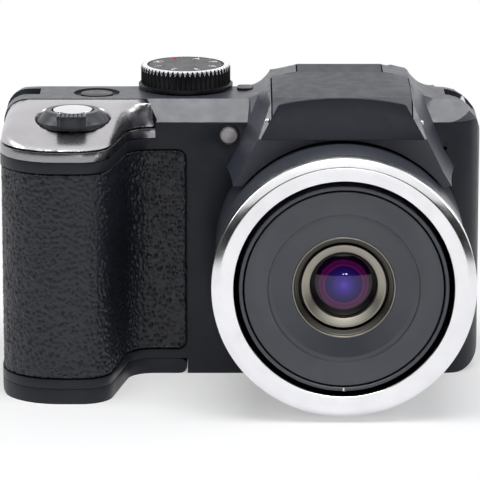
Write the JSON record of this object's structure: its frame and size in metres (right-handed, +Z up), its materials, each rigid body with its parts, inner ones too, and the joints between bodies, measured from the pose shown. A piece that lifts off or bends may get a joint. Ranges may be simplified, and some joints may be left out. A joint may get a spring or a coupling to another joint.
{
  "type": "bridge camera",
  "caption": "Bridge camera with a deep rubber grip, a telescoping superzoom lens in a bright ring, a pop-up flash hump, a mode dial and a rear screen.",
  "frame": {"origin": "middle of the whole camera's footprint, on the surface that it stands on", "axes": "+Z up, -Y the way the lens looks, -X towards the grip"},
  "size_m": [0.107, 0.075, 0.0681],
  "materials": {
    "cover_plastic": "fine sparkle-grained charcoal",
    "top_plastic": "satin charcoal",
    "silver_cap": "satin metallised silver",
    "bright_trim": "dark bright-plated band",
    "grip_rubber": "leather-grained soft rubber",
    "inner_plastic": "plain black moulding",
    "pin_steel": "plain ground steel",
    "screw_steel": "blackened steel",
    "contact_metal": "plated spring brass",
    "cell_jacket": "plain printed jacket",
    "socket_steel": "pressed tinned steel",
    "card_plastic": "plain moulding",
    "barrel_plastic": "fine matt black barrel finish",
    "ring_metal": "turned and polished",
    "retainer_metal": "anodised dark warm grey",
    "coated_glass": "purple anti-reflection coating",
    "circuit_board": "green solder mask",
    "plate_gloss": "dark gloss panel",
    "clear_window": "ribbed clear plastic",
    "reflector_metal": "bright sheet",
    "capacitor_case": "sleeved can",
    "key_plastic": "satin black keys",
    "dial_plastic": "black knurled rim",
    "dial_plate": "spun dark grey disc",
    "button_chrome": "plated satin chrome",
    "lever_plastic": "dark grey moulding",
    "lamp_lens": "pale clear lens",
    "bracket_metal": "pressed sheet",
    "screen_panel": "display panel",
    "screen_glass": "black glossy window",
    "port_rubber": "soft flap"
  },
  "bodies": {
    "body": {"front_cover": "cover_plastic", "rear_cover": "cover_plastic", "top_cover": "top_plastic", "grip_cap": "silver_cap", "grip_trim": "bright_trim", "grip_rubber": "grip_rubber", "battery_tray": "inner_plastic", "battery_cells": "cell_jacket", "cell_contacts": "contact_metal", "memory_card_socket": "socket_steel", "memory_card": "card_plastic", "tripod_bush": "pin_steel", "strap_bars": "pin_steel", "lens_shroud": "barrel_plastic", "lens_ring": "ring_metal", "lens_base": "inner_plastic", "rear_lens": "coated_glass", "image_sensor": "circuit_board", "zoom_motor": "socket_steel", "flash_hinge_pin": "pin_steel", "flash_capacitor": "capacitor_case", "switch_board": "circuit_board", "af_lamp": "lamp_lens", "main_board": "circuit_board", "screen_bracket": "bracket_metal", "screen_module": "screen_panel", "screen_window": "screen_glass", "key_board": "circuit_board", "usb_socket": "socket_steel", "cover_screws": "screw_steel"},
    "door_slider": {"door_slider": "inner_plastic", "door_pin": "pin_steel"},
    "battery_door": {"battery_door": "cover_plastic", "door_contacts": "contact_metal"},
    "rear_barrel": {"rear_barrel": "barrel_plastic"},
    "front_barrel": {"front_barrel": "barrel_plastic", "retaining_ring": "retainer_metal", "front_lens": "coated_glass", "iris_unit": "inner_plastic", "middle_lens": "coated_glass"},
    "flash": {"flash_cover": "top_plastic", "flash_nameplate": "plate_gloss", "flash_window": "clear_window", "flash_reflector": "reflector_metal"},
    "flash_key": {"flash_key": "key_plastic"},
    "mode_dial": {"mode_dial": "dial_plastic", "mode_dial_plate": "dial_plate", "dial_shaft": "pin_steel"},
    "power_key": {"power_key": "key_plastic"},
    "shutter_button": {"shutter_button": "button_chrome"},
    "zoom_lever": {"zoom_lever": "lever_plastic"},
    "nav_ring": {"nav_ring": "key_plastic"},
    "set_key": {"set_key": "key_plastic"},
    "menu_key": {"menu_key": "key_plastic"},
    "play_key": {"play_key": "key_plastic"},
    "delete_key": {"delete_key": "key_plastic"},
    "video_key": {"video_key": "key_plastic"},
    "port_cover": {"port_cover": "port_rubber"}
  },
  "joints": [
    {"name": "rear_barrel_slide", "type": "slide", "parent": "body", "child": "rear_barrel", "axis": [0, -1, 0], "range_m": [0, 0.015]},
    {"name": "front_barrel_slide", "type": "slide", "parent": "rear_barrel", "child": "front_barrel", "axis": [0, -1, 0], "range_m": [0, 0.014]},
    {"name": "flash_popup", "type": "hinge", "parent": "body", "child": "flash", "pos_m": [0.0219, 0.0205, 0.0655], "axis": [-1, 0, 0], "range_deg": [0, 75]},
    {"name": "flash_key_press", "type": "slide", "parent": "body", "child": "flash_key", "axis": [0, 0, -1], "range_m": [0, 0.0006], "stiffness_N_per_m": 1200},
    {"name": "dial_turn", "type": "hinge", "parent": "body", "child": "mode_dial", "pos_m": [-0.0129, 0.021, 0.065], "axis": [0, 0, 1], "continuous": true},
    {"name": "power_press", "type": "slide", "parent": "body", "child": "power_key", "axis": [0, 0, -1], "range_m": [0, 0.0006], "stiffness_N_per_m": 1200},
    {"name": "shutter_press", "type": "slide", "parent": "body", "child": "shutter_button", "axis": [0, 0, -1], "range_m": [0, 0.0009], "stiffness_N_per_m": 700},
    {"name": "zoom_turn", "type": "hinge", "parent": "body", "child": "zoom_lever", "pos_m": [-0.0375, -0.0065, 0.061], "axis": [0, 0, 1], "range_deg": [-20, 20], "stiffness_Nm_per_rad": 0.03},
    {"name": "door_slide", "type": "slide", "parent": "body", "child": "door_slider", "axis": [-1, 0, 0], "range_m": [0, 0.0035]},
    {"name": "door_hinge", "type": "hinge", "parent": "door_slider", "child": "battery_door", "pos_m": [-0.0142, 0.0185, 0.0017], "axis": [0, -1, 0], "range_deg": [0, 90]},
    {"name": "port_hinge", "type": "hinge", "parent": "body", "child": "port_cover", "pos_m": [0.0527, 0.0295, 0.032], "axis": [0, 0, 1], "range_deg": [0, 90]},
    {"name": "nav_tilt", "type": "hinge", "parent": "body", "child": "nav_ring", "pos_m": [-0.036, 0.0352, 0.027], "axis": [1, 0, 0], "range_deg": [-3, 3], "stiffness_Nm_per_rad": 0.2},
    {"name": "set_press", "type": "slide", "parent": "body", "child": "set_key", "axis": [0, -1, 0], "range_m": [0, 0.0006], "stiffness_N_per_m": 1200},
    {"name": "menu_press", "type": "slide", "parent": "body", "child": "menu_key", "axis": [0, -1, 0], "range_m": [0, 0.0006], "stiffness_N_per_m": 1200},
    {"name": "play_press", "type": "slide", "parent": "body", "child": "play_key", "axis": [0, -1, 0], "range_m": [0, 0.0006], "stiffness_N_per_m": 1200},
    {"name": "delete_press", "type": "slide", "parent": "body", "child": "delete_key", "axis": [0, -1, 0], "range_m": [0, 0.0006], "stiffness_N_per_m": 1200},
    {"name": "video_press", "type": "slide", "parent": "body", "child": "video_key", "axis": [0, -1, 0], "range_m": [0, 0.0006], "stiffness_N_per_m": 1200}
  ],
  "couplings": [
    {"joint": "front_barrel_slide", "follows": "rear_barrel_slide", "ratio": 0.93333}
  ]
}
